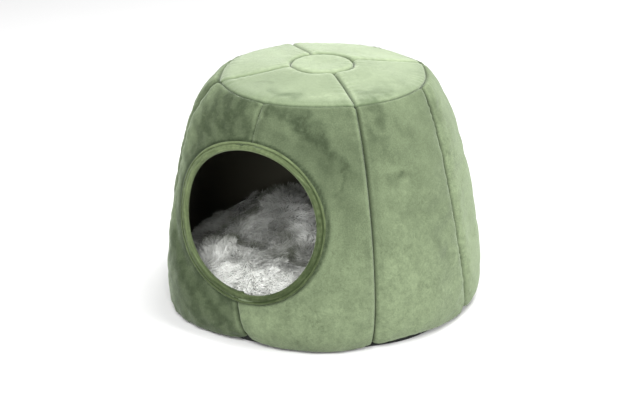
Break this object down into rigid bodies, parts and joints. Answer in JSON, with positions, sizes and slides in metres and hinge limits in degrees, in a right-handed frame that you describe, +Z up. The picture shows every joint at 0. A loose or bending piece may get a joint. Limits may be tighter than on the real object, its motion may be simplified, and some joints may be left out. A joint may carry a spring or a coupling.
{
  "type": "semi-enclosed pet bed",
  "caption": "Round padded pet bed of green velvet with vertical wall panels, a quilted closed top, a bound round front opening and a loose grey plush cushion.",
  "frame": {"origin": "middle of the bed's outline on the plane it stands on", "axes": "+Z up, opening facing -Y, +X to the right of someone looking into the opening"},
  "size_m": [0.4011, 0.4021, 0.3009],
  "materials": {
    "wall_velvet": "short-pile velvet, brushed in patches",
    "top_velvet": "short-pile velvet, brushed in patches",
    "binding_tape": "short-pile velvet tape, stitched",
    "lining_cloth": "flat matt woven cloth",
    "base_cloth": "matt non-slip cloth",
    "cushion_plush": "long-pile mottled plush"
  },
  "bodies": {
    "root": {"side_panel_1": "wall_velvet", "side_panel_2": "wall_velvet", "side_panel_3": "wall_velvet", "side_panel_4": "wall_velvet", "side_panel_5": "wall_velvet", "side_panel_6": "wall_velvet", "side_panel_7": "wall_velvet", "side_panel_8": "wall_velvet", "top_petal_1": "top_velvet", "top_petal_2": "top_velvet", "top_petal_3": "top_velvet", "top_petal_4": "top_velvet", "top_disc": "top_velvet", "opening_binding": "binding_tape", "lining": "lining_cloth", "base": "base_cloth", "cushion": "cushion_plush"}
  },
  "joints": []
}
